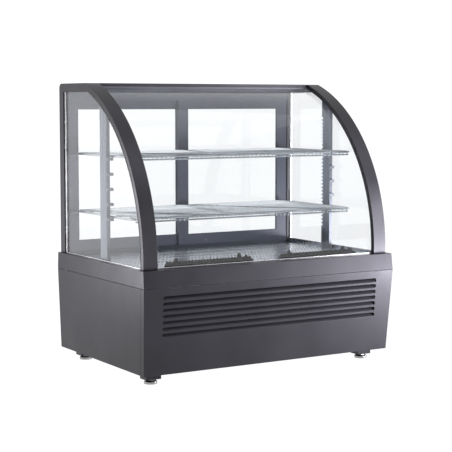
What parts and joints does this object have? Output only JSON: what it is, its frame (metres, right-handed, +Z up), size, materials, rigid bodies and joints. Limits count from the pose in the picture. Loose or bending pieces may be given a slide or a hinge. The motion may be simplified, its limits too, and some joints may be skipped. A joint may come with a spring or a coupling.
{
  "type": "refrigerated bakery display case",
  "caption": "Countertop refrigerated display case: curved front glass between arched frame members, wire shelves, perforated deck, louvred base and sliding rear doors.",
  "frame": {"origin": "centre of the footprint, on the surface that the feet stand on", "axes": "+X to the right as seen from the front, +Y towards the rear doors, +Z up"},
  "size_m": [0.682, 0.45, 0.67],
  "materials": {
    "painted_panel": "satin powder coat, dark grey",
    "painted_frame": "satin powder coat, dark grey",
    "rail_grey": "satin, blue grey",
    "clear_glass": "clear toughened glass",
    "aluminium_trim": "satin anodised",
    "pilaster_steel": "satin",
    "light_strip": "white diffuser, lit",
    "chrome_wire": "bright chrome plate",
    "deck_steel": "bright brushed, perforated",
    "black_plastic": "moulded",
    "button_plastic": "moulded",
    "galvanised": "galvanised sheet",
    "black_steel": "black enamel",
    "rubber": "moulded",
    "coil_aluminium": "mill finish fins",
    "motor_steel": "plain",
    "copper": "bare copper",
    "foam_liner": "white moulded liner",
    "zinc_foot": "zinc plated",
    "screw_steel": "plated"
  },
  "bodies": {
    "cabinet": {"air_vents": "black_plastic", "arch_left": "painted_frame", "arch_right": "painted_frame", "base_pan": "galvanised", "ceiling_panel": "rail_grey", "compressor": "black_steel", "compressor_grommets": "rubber", "condensate_tray": "galvanised", "condenser_coil": "coil_aluminium", "condenser_fan_motor": "motor_steel", "condenser_shroud": "black_plastic", "control_panel": "black_plastic", "deck": "deck_steel", "door_header": "rail_grey", "door_sill": "rail_grey", "evaporator_coil": "coil_aluminium", "evaporator_fan_motor": "motor_steel", "evaporator_fan_plate": "galvanised", "filter_drier": "copper", "foot_brackets": "black_steel", "front_glass": "clear_glass", "front_panel": "painted_panel", "glass_beads": "aluminium_trim", "glass_top_channel": "rail_grey", "insulated_tub": "foam_liner", "led_strips": "light_strip", "pilasters": "pilaster_steel", "power_inlet": "black_plastic", "rear_panel": "painted_panel", "rear_post_left": "painted_frame", "rear_post_right": "painted_frame", "refrigerant_lines": "copper", "rim_band": "painted_panel", "screws": "screw_steel", "shelf_supports": "pilaster_steel", "side_bar_left": "painted_frame", "side_bar_right": "painted_frame", "side_glass_left": "clear_glass", "side_glass_right": "clear_glass", "side_panel_left": "painted_panel", "side_panel_right": "painted_panel", "terminal_box": "black_plastic", "top_panel": "painted_frame"},
    "foot_front_left": {"foot_front_left": "zinc_foot"},
    "foot_front_right": {"foot_front_right": "zinc_foot"},
    "foot_rear_left": {"foot_rear_left": "zinc_foot"},
    "foot_rear_right": {"foot_rear_right": "zinc_foot"},
    "condenser_fan": {"condenser_fan": "black_plastic"},
    "evaporator_fan": {"evaporator_fan": "black_plastic"},
    "shelf_upper": {"shelf_upper": "chrome_wire"},
    "shelf_lower": {"shelf_lower": "chrome_wire"},
    "door_left": {"door_frame_left": "rail_grey", "door_glass_left": "clear_glass"},
    "door_right": {"door_frame_right": "rail_grey", "door_glass_right": "clear_glass"},
    "button_down": {"button_down": "button_plastic"},
    "button_up": {"button_up": "button_plastic"},
    "button_set": {"button_set": "button_plastic"},
    "rocker_light": {"rocker_light": "button_plastic"},
    "rocker_power": {"rocker_power": "button_plastic"}
  },
  "joints": [
    {"name": "door_left_slide", "type": "slide", "parent": "cabinet", "child": "door_left", "axis": [1, 0, 0], "range_m": [0, 0.27]},
    {"name": "door_right_slide", "type": "slide", "parent": "cabinet", "child": "door_right", "axis": [1, 0, 0], "range_m": [-0.27, 0]},
    {"name": "shelf_upper_lift", "type": "slide", "parent": "cabinet", "child": "shelf_upper", "axis": [0, 0, 1], "range_m": [0, 0.01]},
    {"name": "shelf_lower_lift", "type": "slide", "parent": "cabinet", "child": "shelf_lower", "axis": [0, 0, 1], "range_m": [0, 0.01]},
    {"name": "foot_front_left_height", "type": "slide", "parent": "cabinet", "child": "foot_front_left", "axis": [0, 0, -1], "range_m": [0, 0.01]},
    {"name": "foot_front_right_height", "type": "slide", "parent": "cabinet", "child": "foot_front_right", "axis": [0, 0, -1], "range_m": [0, 0.01]},
    {"name": "foot_rear_left_height", "type": "slide", "parent": "cabinet", "child": "foot_rear_left", "axis": [0, 0, -1], "range_m": [0, 0.01]},
    {"name": "foot_rear_right_height", "type": "slide", "parent": "cabinet", "child": "foot_rear_right", "axis": [0, 0, -1], "range_m": [0, 0.01]},
    {"name": "condenser_fan_spin", "type": "hinge", "parent": "cabinet", "child": "condenser_fan", "pos_m": [0.11, -0.124, 0.089], "axis": [0, 1, 0], "continuous": true},
    {"name": "evaporator_fan_spin", "type": "hinge", "parent": "cabinet", "child": "evaporator_fan", "pos_m": [-0.085, -0.038, 0.212], "axis": [0, 1, 0], "continuous": true},
    {"name": "button_down_press", "type": "slide", "parent": "cabinet", "child": "button_down", "axis": [0, -1, 0], "range_m": [0, 0.001], "stiffness_N_per_m": 300, "springref_m": -0.002},
    {"name": "button_up_press", "type": "slide", "parent": "cabinet", "child": "button_up", "axis": [0, -1, 0], "range_m": [0, 0.001], "stiffness_N_per_m": 300, "springref_m": -0.002},
    {"name": "button_set_press", "type": "slide", "parent": "cabinet", "child": "button_set", "axis": [0, -1, 0], "range_m": [0, 0.001], "stiffness_N_per_m": 300, "springref_m": -0.002},
    {"name": "rocker_light_tilt", "type": "hinge", "parent": "cabinet", "child": "rocker_light", "pos_m": [0.206, 0.219, 0.17], "axis": [1, 0, 0], "range_deg": [-18, 0]},
    {"name": "rocker_power_tilt", "type": "hinge", "parent": "cabinet", "child": "rocker_power", "pos_m": [0.238, 0.219, 0.17], "axis": [1, 0, 0], "range_deg": [-18, 0]}
  ]
}
